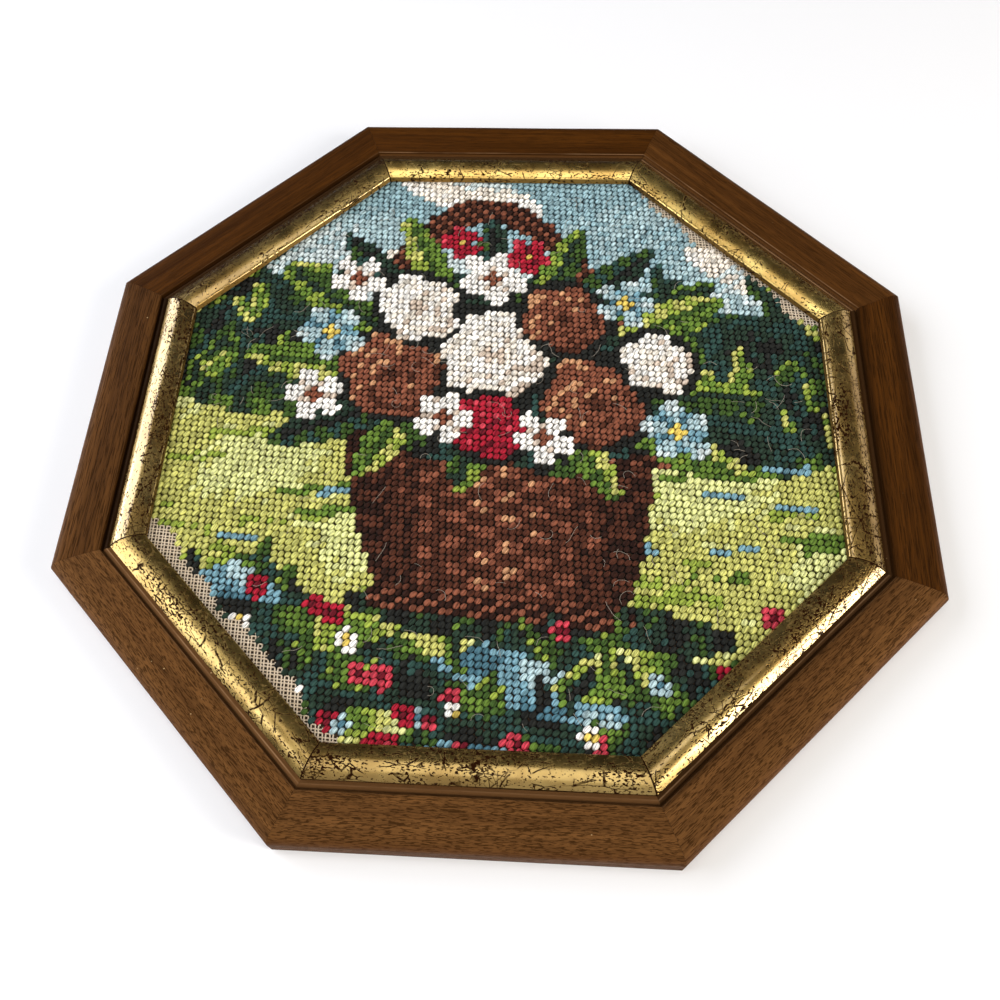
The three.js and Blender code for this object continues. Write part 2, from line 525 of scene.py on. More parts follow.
giltSettings = {
    "bright": "e8c677",
    "deep": "bf9a52",
    "bronze": "6a4d20",
    # the dark of the painted shade on the gilt's outer flank
    "flankShade": "33240f",
    "crack": "241005",
    "crackGloss": "8a5a30",
    "lip": "8a6a34",
    # clockwise from the picture's top side: how bright the leaf is painted by side (painted light and
    # shade), how cracked and specked it is, how much more of that lies towards the wood, how clear and how
    # glossy its lacquer is, and how bright its lip is painted (painted shade and highlight)
    "leafLightShare": [1.28, 1.3, 0.9, 0.74, 0.66, 0.77, 0.78, 0.84],
    "wear": [0.75, 0.85, 1.5, 0.95, 0.88, 0.8, 0.65, 1.2],
    "outward": [0.02, 0.04, 0.01, -0.02, 0.0, -0.02, -0.11, 0.07],
    "lacquer": [0.3, 0.3, 0.7, 1.0, 0.6, 0.4, 1.0, 0.7],
    "varnishGloss": [1.6, 1.7, 1.8, 1.6, 1.5, 1.5, 1.9, 1.8],
    # from how far out (mm) painted shade darkens the leaf's outer flank, and how much of it lies beside the
    # wood
    "outerFlankShade": [(6, 0.62), (5, 0.25), (4, 0), (4, 0), (4, 0.1), (4, 0), (4, 0), (2.8, 0.64)],
    "lipLightShare": [1.1, 0.6, 0.5, 1.0, 1.0, 1.0, 0.6, 1.2],
}


def giltMaterial(side, s):
    material, tree, shader = newMaterial(f"agedGilt{side + 1}")
    local, place = sidePlace(tree, side, (side * 0.53, side * 0.013, side * 0.31))
    axes = put(tree, "ShaderNodeSeparateXYZ", {0: local})
    cloudy = noiseAt(tree, place, 45, 4, 0.6)
    # painted light and shade: the whole leaf is made brighter or darker by side
    share = s["leafLightShare"][side]
    bright, deep, bronze = (stretchedColour(s[k], share) for k in ("bright", "deep", "bronze"))
    skin = blendColours(tree, between(tree, cloudy, 0.35, 0.65), deep, bright)
    # bronze toning left in patches
    toning = noiseAt(tree, stretched(tree, place, (18, 60, 60)), 1, 4, 0.65)
    skin = blendColours(tree, between(tree, toning, 0.52, 0.74, 0.0, 0.45), skin, bronze)
    # painted shade: the leaf darkens towards the wood on its outer flank, mostly on the far sides
    flankShadeStart, flankShadeShare = s["outerFlankShade"][side]
    flankShadeStart = openingReach + flankShadeStart * mm
    flankShade = between(tree, axes.outputs["Y"], flankShadeStart, openingReach + 8.5 * mm, 0.0, flankShadeShare)
    skin = blendColours(tree, flankShade, skin, colour(s["flankShade"]))
    # jagged cracks: most run along the side, fewer run across it, and a finer crackle sits in patches
    wear = s["wear"][side]
    wide = put(tree, "ShaderNodeTexNoise", {"Vector": place, "Scale": 55.0, "Detail": 2.0})
    tight = put(tree, "ShaderNodeTexNoise", {"Vector": place, "Scale": 420.0, "Detail": 2.0})
    bent = vectorCalc(tree, "ADD", place, stretched(tree, wide.outputs["Color"], (0.006, 0.003, 0.003)))
    bent = vectorCalc(tree, "ADD", bent, stretched(tree, tight.outputs["Color"], (0.0007, 0.0007, 0.0007)))
    lean = s["outward"][side]
    lean = between(tree, axes.outputs["Y"], openingReach + 4.5 * mm, openingReach + 9 * mm, -lean, lean)

    def cracks(rates, width, maskRate, least):
        cells = put(
            tree,
            "ShaderNodeTexVoronoi",
            {"Vector": stretched(tree, bent, rates), "Scale": 1.0},
            feature="DISTANCE_TO_EDGE",
        )
        line = between(tree, cells.outputs["Distance"], width, width * 0.4)
        here = calc(tree, "ADD", noiseAt(tree, place, maskRate, 2), lean)
        return calc(tree, "MULTIPLY", line, between(tree, here, least, least + 0.05))

    longCracks = cracks((48, 190, 190), 0.03, 90, 0.55 - 0.1 * wear)
    crossCracks = cracks((120, 60, 60), 0.022, 120, 0.6 - 0.1 * wear)
    crackle = cracks((330, 460, 460), 0.055, 80, 0.65 - 0.12 * wear)
    # specks, thicker in lengthwise drifts
    specks = noiseAt(tree, stretched(tree, place, (900, 1500, 1500)), 1, 1, 0.6)
    drifts = noiseAt(tree, stretched(tree, place, (40, 140, 140)), 1, 3, 0.6)
    drifts = between(tree, calc(tree, "ADD", drifts, lean), 0.36, 0.68, 0.0, 0.1 + 0.06 * wear)
    specks = between(tree, calc(tree, "ADD", specks, drifts), 0.64, 0.665)
    marks = longCracks
    for more in (crossCracks, crackle, specks):
        marks = calc(tree, "MAXIMUM", marks, more)
    # some of the marks are faint
    marks = calc(tree, "MULTIPLY", marks, between(tree, noiseAt(tree, place, 650, 2), 0.34, 0.5, 0.7, 1.0))
    joint = between(tree, mitreDistance(tree, local), 0.34 * mm, 0.2 * mm)
    marks = calc(tree, "MAXIMUM", marks, joint)
    # the lip that drops to the cloth is dull bronze, with its brightness by side painted as shade and
    # highlight
    lip = between(tree, axes.outputs["Y"], openingReach + 0.06 * mm, openingReach + 0.02 * mm)
    skin = blendColours(tree, lip, skin, stretchedColour(s["lip"], s["lipLightShare"][side]))
    skin = blendColours(tree, marks, skin, colour(s["crack"]))
    tree.links.new(skin, shader.inputs["Base Color"])
    dull = calc(tree, "MAXIMUM", marks, calc(tree, "MULTIPLY", lip, 0.75))
    tree.links.new(between(tree, dull, 0.0, 1.0, 1.0, 0.0), shader.inputs["Metallic"])
    shader.inputs["Specular IOR Level"].default_value = 0.1
    gloss = blendColours(tree, marks, (1.0, 1.0, 1.0, 1.0), colour(s["crackGloss"]))
    tree.links.new(gloss, shader.inputs["Specular Tint"])
    rough = between(tree, noiseAt(tree, place, 160, 4, 0.6), 0.3, 0.7, 0.24, 0.36)
    tree.links.new(calc(tree, "ADD", rough, calc(tree, "MULTIPLY", dull, 0.35)), shader.inputs["Roughness"])
    # lacquer, broken where the leaf is cracked
    tree.links.new(between(tree, dull, 0.0, 1.0, s["lacquer"][side], 0.0), shader.inputs["Coat Weight"])
    shader.inputs["Coat Roughness"].default_value = 0.16
    shader.inputs["Coat IOR"].default_value = s["varnishGloss"][side]
    relief = calc(tree, "SUBTRACT", calc(tree, "MULTIPLY", noiseAt(tree, place, 500, 3), 0.3), marks)
    bump = put(tree, "ShaderNodeBump", {"Height": relief, "Strength": 0.4, "Distance": 0.08 * mm})
    tree.links.new(bump.outputs[0], shader.inputs["Normal"])
    return material


def buildSlips():
    section = slipSection(slipSettings)
    for side in range(sideCount):
        number = side + 1
        piece = meshPiece(
            f"giltSlip_{number}", lambda shape: sweepSide(shape, section, side, slipSettings)
        )
        piece.data.materials.append(giltMaterial(side, giltSettings))
        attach(piece, "root")
        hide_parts(f"slip_{number}")


buildSlips()
print("gilt slips built")


# the stitched picture: a chart of wool colours on the canvas grid
chartSettings = {
    "pitch": (2.5 * mm, 2.54 * mm),
    "rowFall": math.radians(4.3),
    "columnLean": math.radians(3.5),
    "reach": 56,
    "lowerLeftEdge": -71,
    "upperRightEdge": 73,
    "edgeWander": 0.7,
    "edgeInset": -2.2 * mm,
    "seed": 11,
}

wools = {
    "skyDeep": "8aa8af",
    "sky": "a2babe",
    "skyPale": "c3cfcf",
    "cream": "e4dccf",
    "creamShade": "c4b3a2",
    "white": "eeebe5",
    "meadow": "bab967",
    "meadowLight": "cdd08c",
    "grass": "8b9c3e",
    "leaf": "5f7a2f",
    "leafDeep": "3a5222",
    "pine": "25362a",
    "teal": "2a443e",
    "night": "20211e",
    "straw": "bd8c66",
    "rust": "7d4935",
    "bark": "4e2a1c",
    "umber": "2c160e",
    "red": "9e1b2e",
    "redDeep": "651320",
    "redLight": "b93b49",
    "blue": "7097a4",
    "blueDeep": "446875",
    "yellow": "cdb457",
}


class Chart:
    # a square of stitches, painted motif over motif; columns run right and rows run up from the middle
    def __init__(self, reach, seed):
        self.names = list(wools)
        span = np.arange(-reach, reach + 1)
        self.column, self.row = np.meshgrid(span, span)
        self.column = self.column.astype(float)
        self.row = self.row.astype(float)
        self.wool = np.zeros(self.column.shape, dtype=int)
        self.random = np.random.default_rng(seed)
        self.dither = self.random.random(self.column.shape)

    def lay(self, where, name):
        self.wool[where] = self.names.index(name)

    def shade(self, where, amount, names, fray=0.5):
        # amount from 0 to 1 picks one of the names, with a frayed edge between two neighbours
        level = np.clip(amount, 0, 0.9999) * len(names) + (self.dither - 0.5) * fray
        pick = np.clip(level.astype(int), 0, len(names) - 1)
        for k, name in enumerate(names):
            self.lay(where & (pick == k), name)

    def turned(self, x, y, angle):
        dx, dy = self.column - x, self.row - y
        return dx * math.cos(angle) + dy * math.sin(angle), dy * math.cos(angle) - dx * math.sin(angle)


def paintSky(chart):
    column, row = chart.column, chart.row
    drift = np.sin(column / 13 + row / 5) + 0.7 * np.sin(column / 6 - row / 3.3 + 1)
    chart.shade(row > -200, (row - 8 + 5 * drift) / 40, ["cream", "skyPale", "sky", "skyDeep"], 0.9)
    clouds = (np.sin(column / 8 + 2.2) + np.sin(row / 3.2 + column / 11) > 0.85) & (row > 0)
    chart.shade(clouds, 0.5 + 0.4 * drift, ["skyPale", "cream", "white"], 0.8)


def scatter(chart, count, low, high, keep):
    # seeded places inside a box of columns and rows, where keep says yes
    spots = []
    while len(spots) < count:
        x = chart.random.uniform(low[0], high[0])
        y = chart.random.uniform(low[1], high[1])
        if keep(x, y):
            spots.append((x, y))
    return spots


def bushTop(column):
    # the leafy skyline is low behind the handle and higher at both sides
    hump = 9 * np.sin(column / 10.5 + 0.4) + 4 * np.sin(column / 4.1 + 1.3)
    return 22 + 0.0045 * column**2 + 0.42 * hump


def paintBushes(chart):
    column, row = chart.column, chart.row
    swirl = np.sin(column / 3.1 + row / 4) + np.sin(row / 2.7 - column / 5)
    mass = row < bushTop(column)
    chart.shade(mass, 0.45 + 0.22 * swirl, ["night", "pine", "teal", "pine", "leafDeep"], 0.8)
    names = [
        ["pine", "leafDeep", "leaf"],
        ["leafDeep", "leaf", "grass"],
        ["leaf", "grass", "meadow"],
        ["night", "teal", "pine"],
        ["pine", "teal", "leafDeep"],
    ]
    for x, y in scatter(chart, 190, (-56, 0), (56, 34), lambda x, y: y < bushTop(x) + 1):
        angle = chart.random.uniform(20, 160)
        length = chart.random.uniform(5, 9)
        paintLeaf(chart, x, y, angle, length, 1.7, names[int(chart.random.integers(len(names)))])


def paintLawn(chart):
    column, row = chart.column, chart.row
    edge = 1 + 2.2 * np.sin(column / 9 + 0.6) + 1.2 * np.sin(column / 4.3 + 2)
    lawn = row < edge
    light = 0.62 + 0.2 * np.sin(column / 11 + row / 6) + 0.16 * np.sin(column / 5 - row / 4)
    chart.shade(lawn, light, ["grass", "meadow", "meadow", "meadowLight"], 0.8)
    chart.shade(lawn & (row > edge - 2.5), 0.5 + 0.4 * np.sin(column), ["pine", "leafDeep", "leaf"], 0.9)
    for x, y in scatter(chart, 80, (-56, -44), (56, -3), lambda x, y: True):
        length = chart.random.uniform(4, 13)
        slope = chart.random.uniform(-0.12, 0.2)
        along = column - x
        stroke = (along > 0) & (along < length) & (np.abs(row - y - slope * along) < 0.62) & lawn
        name = ["grass", "leaf", "grass", "meadowLight", "blue"][int(chart.random.integers(5))]
        chart.lay(stroke & (chart.dither < 0.85), name)


def paintBasket(chart):
    column, row = chart.column, chart.row
    top, bottom = -4, -29
    down = np.clip((top - row) / (top - bottom), 0, 1)
    half = 23 - 6 * down**1.4
    body = (row <= top) & (row >= bottom) & (np.abs(column) <= half)
    # the shadow on the grass under it
    shadow = ((column - 5) / 27) ** 2 + ((row + 30) / 4.2) ** 2 < 1
    chart.shade(shadow, 0.4 + 0.3 * np.sin(column), ["night", "pine", "leafDeep"], 0.7)
    stake = np.floor(column / 4).astype(int)
    band = np.floor(row / 2).astype(int)
    over = (stake + band) % 2 == 0
    roundness = 1 - (column / half) ** 2
    weave = np.where(over, 0.3, 0.02) + 0.5 * roundness - 0.14 * (np.abs(column % 4 - 1.5) > 1)
    chart.shade(body, weave, ["umber", "bark", "bark", "rust", "straw"], 0.5)
    for level, reach in ((top + 1, 25), (bottom, 18)):
        rim = (np.abs(row - level) <= 1.5) & (np.abs(column) <= reach)
        twist = (column + row * 2) % 4 < 2
        chart.shade(rim, np.where(twist, 0.8, 0.2), ["umber", "bark", "rust"], 0.2)
    # the handle stands behind the flowers
    ring = np.hypot(column / 22, (row + 4) / 46)
    handle = (np.abs(ring - 1) < 0.06) & (row > -4)
    chart.shade(handle, ((column + row) % 3) / 3 + 0.1, ["umber", "bark", "rust"], 0.2)


def paintLeaf(chart, x, y, angle, length, width, names):
    along, across = chart.turned(x, y, math.radians(angle))
    t = along / length
    swell = width * np.sqrt(np.clip(4 * t * (1 - t), 0, 1)) * (1.15 - 0.5 * t)
    inside = (t > 0) & (t < 1) & (np.abs(across) <= swell)
    side = np.where(across > 0, 0.75, 0.35) + 0.12 * np.sin(along * 1.7)
    chart.shade(inside, side, names, 0.35)
    chart.lay(inside & (np.abs(across) < 0.45) & (t < 0.85), names[0])


def paintRose(chart, x, y, radius, names, turn=0.0):
    dx, dy = chart.column - x, chart.row - y
    distance, angle = np.hypot(dx, dy), np.arctan2(dy, dx)
    edge = radius * (1 + 0.09 * np.cos(5 * angle + turn))
    inside = distance <= edge
    layer = distance / edge * 3.1 + 0.45 * np.sin(2 * angle + turn + distance * 0.5)
    petal = layer - np.floor(layer)
    light = 0.18 + 0.66 * petal + 0.14 * (dy - dx) / radius
    chart.shade(inside, light, names, 0.3)
    chart.lay((distance < radius * 0.16), names[0])


def paintBloom(chart, x, y, radius, names, heart, turn):
    petalCount = 5
    dx, dy = chart.column - x, chart.row - y
    distance, angle = np.hypot(dx, dy), np.arctan2(dy, dx)
    lobe = np.abs(np.cos(petalCount / 2 * angle + turn))
    inside = distance <= radius * (0.5 + 0.55 * lobe**0.6)
    light = 0.15 + 0.6 * lobe + 0.3 * distance / radius - 0.2
    chart.shade(inside, light, names, 0.25)
    chart.lay(distance <= radius * 0.26, heart)


def paintBouquet(chart):
    column, row = chart.column, chart.row
    swirl = np.sin(column / 3.1 + row / 4) + np.sin(row / 2.7 - column / 5)
    bush = (column / 29) ** 2 + ((row - 10) / 17) ** 2 < 1 + 0.09 * swirl
    chart.shade(bush, 0.42 + 0.24 * swirl, ["night", "pine", "teal", "night", "leafDeep"], 0.6)
    green = ["pine", "leafDeep", "leaf", "grass"]
    cool = ["night", "pine", "teal", "leafDeep"]
    light = ["leafDeep", "leaf", "grass", "meadow"]
    leaves = [
        (20, 18, 30, 19, 3.6, light),
        (23, 8, 4, 18, 3.6, green),
        (20, 2, -22, 19, 3.6, light),
        (-18, 16, 146, 20, 3.8, green),
        (-22, 8, 174, 18, 3.6, light),
        (-19, 1, 203, 17, 3.4, cool),
        (8, 24, 66, 17, 3.2, green),
        (-8, 24, 112, 17, 3.4, light),
        (14, 24, 45, 17, 3.2, cool),
        (-14, 23, 132, 16, 3.2, cool),
        (-2, 0, 250, 12, 3.2, green),
        (12, -1, 300, 11, 3, light),
        (-15, -1, 238, 11, 3, light),
        (0, 26, 88, 15, 3, cool),
    ]
    for leaf in leaves:
        paintLeaf(chart, *leaf)
    creamRose = ["creamShade", "cream", "white", "white"]
    rustRose = ["bark", "rust", "rust", "straw"]
    redRose = ["redDeep", "red", "red", "redLight"]
    daisy = ["creamShade", "white", "white"]
    blueBell = ["blueDeep", "blue", "sky", "skyPale"]
    roses = [
        (-1, 13, 8.6, creamRose, 0.7),
        (15, 6, 7.6, rustRose, 2.1),
        (-16, 8, 7.8, rustRose, 4.4),
        (11, 21, 6.4, rustRose, 1.2),
        (-12, 21, 6.4, creamRose, 3.3),
        (25, 14, 5.4, creamRose, 5.2),
        (-1, 0, 5.6, redRose, 0.2),
    ]
    for x, y, radius, names, turn in roses:
        rim = np.hypot(chart.column - x, chart.row - y) < radius + 1.1
        chart.lay(rim, "night")
        paintRose(chart, x, y, radius, names, turn)
    blooms = [
        (0, 28, 5.4, daisy, "rust", 0.4),
        (-26, 15, 5.2, blueBell, "yellow", 1.1),
        (27, 2, 5, blueBell, "yellow", 2.0),
        (-8, 1, 4.4, daisy, "rust", 0.2),
        (7, -1, 4.4, daisy, "rust", 0.9),
        (21, 25, 4.6, blueBell, "yellow", 0.1),
        (-22, 26, 4.4, daisy, "rust", 0.8),
        (-28, 3, 4.6, daisy, "rust", 1.7),
        (6, 33, 3.6, redRose, "yellow", 0.6),
        (-5, 35, 3.4, redRose, "yellow", 1.6),
    ]
    for bloom in blooms:
        paintBloom(chart, *bloom)


def borderTop(column):
    return -33 + 0.004 * column**2 + 2.6 * np.sin(column / 6.5) + 1.5 * np.sin(column / 2.9 + 1)


def paintBorder(chart):
    # a flower bed along the lower edge: dark leaves, drifts of blue, and small red and white blossoms
    column, row = chart.column, chart.row
    swirl = np.sin(column / 2.3 + row / 1.9) + np.sin(row / 1.7 - column / 3.3)
    bed = row < borderTop(column)
    chart.shade(bed, 0.45 + 0.23 * swirl, ["night", "pine", "teal", "leafDeep", "leaf"], 0.9)
    drift = np.sin(column / 7.5 + 1.2) + np.sin(row / 2.2 + column / 9)
    chart.shade(bed & (drift > 0.75), 0.5 + 0.3 * swirl, ["blueDeep", "blue", "blue", "sky"], 0.9)
    sun = np.sin(column / 5.5 - 1.1) + np.sin(row / 2.4 - column / 7)
    chart.shade(bed & (sun > 1.1), 0.5 + 0.3 * swirl, ["leaf", "grass", "meadow", "meadowLight"], 0.9)
    tops = [["pine", "leafDeep", "leaf"], ["leafDeep", "leaf", "grass"], ["night", "teal", "pine"]]
    for x, y in scatter(chart, 70, (-54, -50), (54, -18), lambda x, y: y < borderTop(x)):
        angle = chart.random.uniform(50, 130)
        length = chart.random.uniform(4, 7)
        paintLeaf(chart, x, y, angle, length, 1.1, tops[int(chart.random.integers(len(tops)))])
    for x, y in scatter(chart, 46, (-52, -50), (52, -18), lambda x, y: y < borderTop(x) + 1.5):
        pick = int(chart.random.integers(6))
        name, heart = [
            ("red", "redDeep"),
            ("red", "redLight"),
            ("white", "yellow"),
            ("redLight", "redDeep"),
            ("sky", "blueDeep"),
            ("red", "redDeep"),
        ][pick]
        distance = np.hypot(column - x, row - y)
        chart.lay(distance < chart.random.uniform(1.1, 1.9), name)
        chart.lay(distance < 0.62, heart)


def buildChart(s):
    chart = Chart(s["reach"], s["seed"])
    paintSky(chart)
    paintBushes(chart)
    paintLawn(chart)
    paintBasket(chart)
    paintBouquet(chart)
    paintBorder(chart)
    return chart


def gridPlace(column, row, s):
    # a canvas hole's place in plan: the rows fall to the right and the columns lean left, as in pulled work
    wide, high = s["pitch"]
    x = column * wide * math.cos(s["rowFall"]) - row * high * math.sin(s["columnLean"])
    y = row * high * math.cos(s["columnLean"]) - column * wide * math.sin(s["rowFall"])
    return x, y


def sideDistance(x, y):
    # how far out a plan point is, as the reach of the octagon through it
    angles = np.arange(sideCount) * 2 * halfSide
    return np.max([x * np.cos(a) + y * np.sin(a) for a in angles], axis=0)


def stitchedPart(column, row, s, under=0):
    # where there is wool: not in the corners at the lower left and the upper right, whose edges wander
    along = column - row
    wander = s["edgeWander"] * (np.sin(along / 5.3) + np.sin(along / 2.1 + 1))
    diagonal = column + row
    above = diagonal >= s["lowerLeftEdge"] + wander + under
    return above & (diagonal <= s["upperRightEdge"] + wander - under)


chart = buildChart(chartSettings)
print("chart painted")


# geometry node helpers


def newTree(name, inputs):
    tree = bpy.data.node_groups.new(name, "GeometryNodeTree")
    tree.interface.new_socket("Geometry", in_out="INPUT", socket_type="NodeSocketGeometry")
    tree.interface.new_socket("Geometry", in_out="OUTPUT", socket_type="NodeSocketGeometry")
    for label, kind in inputs:
        tree.interface.new_socket(label, in_out="INPUT", socket_type=kind)
    return tree, tree.nodes.new("NodeGroupInput"), tree.nodes.new("NodeGroupOutput")


def applyTree(piece, tree, values):
    # sets the inputs by their identifiers, evaluates once and keeps the result as a plain mesh
    modifier = piece.modifiers.new(tree.name, "NODES")
    modifier.node_group = tree
    sockets = [item for item in tree.interface.items_tree if item.item_type == "SOCKET"]
    for item in sockets:
        if item.in_out == "INPUT" and item.name in values:
            modifier[item.identifier] = values[item.name]
    depsgraph = bpy.context.evaluated_depsgraph_get()
    made = bpy.data.meshes.new_from_object(
        piece.evaluated_get(depsgraph), preserve_all_data_layers=True, depsgraph=depsgraph
    )
    piece.modifiers.clear()
    before = piece.data
    piece.data = made
    made.name = piece.name
    bpy.data.meshes.remove(before)


def pointPiece(name, places, values):
    # loose points that a tree puts shapes on; values are (attribute name, type, numbers)
    mesh = bpy.data.meshes.new(name)
    mesh.from_pydata([tuple(p) for p in places], [], [])
    for key, kind, numbers in values:
        attribute = mesh.attributes.new(key, kind, "POINT")
        field = {"FLOAT": "value", "FLOAT_COLOR": "color", "FLOAT_VECTOR": "vector"}[kind]
        attribute.data.foreach_set(field, np.asarray(numbers, dtype=np.float32).ravel())
    piece = bpy.data.objects.new(name, mesh)
    bpy.context.scene.collection.objects.link(piece)
    return piece


# one stitch, lying along X: a plump arch of yarn whose ends dive into the canvas
stitchSettings = {
    "length": 3.3 * mm,
    "width": 1.84 * mm,
    "height": 1.12 * mm,
    "baseHeight": 7.82 * mm,
    "lean": math.radians(47),
    "leanSpread": math.radians(8),
    "sizeSpread": 0.11,
    "shiftSpread": 0.1 * mm,
    "toneSpread": 0.12,
    "fuzzRate": 800,
    "fuzz": 0.34 * mm,
    "rings": 5,
    "profile": [
        # across and up, as shares of the width and height: a plump top on a foot that meets the next stitch
        (0.6, -0.4),
        (0.57, 0.0),
        (0.46, 0.27),
        (0.26, 0.44),
        (0.0, 0.5),
        (-0.26, 0.44),
        (-0.46, 0.27),
        (-0.57, 0.0),
        (-0.6, -0.4),
    ],
    "seed": 5,
    "cellEdge": 0.06,
}


def stitchTemplate(s):
    rings, profile = s["rings"], s["profile"]
    sides = len(profile)

    def build(shape):
        layer = shape.loops.layers.uv.new("stitchMap")
        spots = [math.sin(math.pi / 2 * (2 * (r + 1) / (rings + 1) - 1)) for r in range(rings)]
        made = []
        for t in spots:
            swell = (1 - abs(t) ** 3.2) ** 0.5
            rise = 0.42 * (1 - abs(t) ** 3)
            points = [(t / 2, across * swell, rise * (up > -0.2) + up * swell) for across, up in profile]
            made.append([shape.verts.new(point) for point in points])
        ends = [shape.verts.new((-0.5, 0, -0.2)), shape.verts.new((0.5, 0, -0.2))]
        for r in range(rings - 1):
            for k in range(sides):
                n = (k + 1) % sides
                face = shape.faces.new((made[r][k], made[r + 1][k], made[r + 1][n], made[r][n]))
                corners = ((r + 1, k), (r + 2, k), (r + 2, k + 1), (r + 1, k + 1))
                for loop, (u, v) in zip(face.loops, corners):
                    loop[layer].uv = (u / (rings + 1), v / sides)
        for k in range(sides):
            n = (k + 1) % sides
            for face, u, spot in (
                (shape.faces.new((ends[0], made[0][k], made[0][n])), 0, 1),
                (shape.faces.new((ends[1], made[-1][n], made[-1][k])), rings + 1, rings),
            ):
                for loop in face.loops:
                    if loop.vert in ends:
                        loop[layer].uv = (u / (rings + 1), (k + 0.5) / sides)
                    else:
                        here = k if loop.vert in (made[0][k], made[-1][k]) else k + 1
                        loop[layer].uv = (spot / (rings + 1), here / sides)

    return meshPiece("stitchTemplate", build, math.pi)


def stitchTree():
    tree, given, result = newTree(
        "wool stitches",
        [
            ("Stitch", "NodeSocketObject"),
            ("Length", "NodeSocketFloat"),
            ("Width", "NodeSocketFloat"),
            ("Height", "NodeSocketFloat"),
            ("Lean", "NodeSocketFloat"),
            ("Lean Spread", "NodeSocketFloat"),
            ("Size Spread", "NodeSocketFloat"),
            ("Fuzz Rate", "NodeSocketFloat"),
            ("Fuzz", "NodeSocketFloat"),
            ("Cells", "NodeSocketFloat"),
            ("Cell Edge", "NodeSocketFloat"),
            ("Wool", "NodeSocketMaterial"),
            ("Seed", "NodeSocketInt"),
        ],
    )
    source = put(tree, "GeometryNodeObjectInfo", {"Object": given.outputs["Stitch"]})
    spread = given.outputs["Lean Spread"]
    minus = calc(tree, "MULTIPLY", spread, -1.0)
    seeded = {2: minus, 3: spread, "Seed": given.outputs["Seed"]}
    tilt = put(tree, "FunctionNodeRandomValue", seeded, data_type="FLOAT")
    angle = calc(tree, "ADD", given.outputs["Lean"], tilt.outputs[1])
    rockSeed = calc(tree, "ADD", given.outputs["Seed"], 1.0)
    rock = put(tree, "FunctionNodeRandomValue", {2: minus, 3: spread, "Seed": rockSeed}, data_type="FLOAT")
    turn = put(tree, "ShaderNodeCombineXYZ", {"X": rock.outputs[1], "Z": angle})
    size = given.outputs["Size Spread"]
    least = calc(tree, "SUBTRACT", 1.0, size)
    most = calc(tree, "ADD", 1.0, size)
    scales = []
    for k, label in enumerate(("Length", "Width", "Height")):
        ownSeed = calc(tree, "ADD", given.outputs["Seed"], 2.0 + k)
        vary = put(tree, "FunctionNodeRandomValue", {2: least, 3: most, "Seed": ownSeed}, data_type="FLOAT")
        scales.append(calc(tree, "MULTIPLY", given.outputs[label], vary.outputs[1]))
    scale = put(tree, "ShaderNodeCombineXYZ", {0: scales[0], 1: scales[1], 2: scales[2]})
    placed = put(
        tree,
        "GeometryNodeInstanceOnPoints",
        {
            "Points": given.outputs["Geometry"],
            "Instance": source.outputs["Geometry"],
            "Rotation": turn.outputs[0],
            "Scale": scale.outputs[0],
        },
    )
    real = put(tree, "GeometryNodeRealizeInstances", {0: placed.outputs[0]})
    # hand-worked yarn is a little uneven
    fuzz = put(tree, "ShaderNodeTexNoise", {"Scale": given.outputs["Fuzz Rate"], "Detail": 1.0})
    push = vectorCalc(tree, "SUBTRACT", fuzz.outputs["Color"], (0.5, 0.5, 0.5))
    push = put(tree, "ShaderNodeVectorMath", {0: push, "Scale": given.outputs["Fuzz"]}, operation="SCALE")
    uneven = put(tree, "GeometryNodeSetPosition", {"Geometry": real.outputs[0], "Offset": push.outputs[0]})
    # each stitch's own square of the bake map
    ownMap = put(tree, "GeometryNodeInputNamedAttribute", {"Name": "stitchMap"}, data_type="FLOAT_VECTOR")
    cell = put(tree, "GeometryNodeInputNamedAttribute", {"Name": "cell"}, data_type="FLOAT_VECTOR")
    edge = given.outputs["Cell Edge"]
    inner = calc(tree, "SUBTRACT", 1.0, calc(tree, "MULTIPLY", edge, 2.0))
    shrunk = put(tree, "ShaderNodeVectorMath", {0: ownMap.outputs[0], "Scale": inner}, operation="SCALE")
    edges = put(tree, "ShaderNodeCombineXYZ", {0: edge, 1: edge})
    inCell = vectorCalc(tree, "ADD", shrunk.outputs[0], edges.outputs[0])
    onSheet = vectorCalc(tree, "ADD", inCell, cell.outputs[0])
    share = calc(tree, "DIVIDE", 1.0, given.outputs["Cells"])
    mapped = put(tree, "ShaderNodeVectorMath", {0: onSheet, "Scale": share}, operation="SCALE")
    stored = put(
        tree,
        "GeometryNodeStoreNamedAttribute",
        {"Geometry": uneven.outputs[0], "Name": "OFBake", "Value": mapped.outputs[0]},
        data_type="FLOAT2",
        domain="CORNER",
    )
    dressed = put(
        tree, "GeometryNodeSetMaterial", {"Geometry": stored.outputs[0], "Material": given.outputs["Wool"]}
    )
    tree.links.new(dressed.outputs[0], result.inputs[0])
    return tree


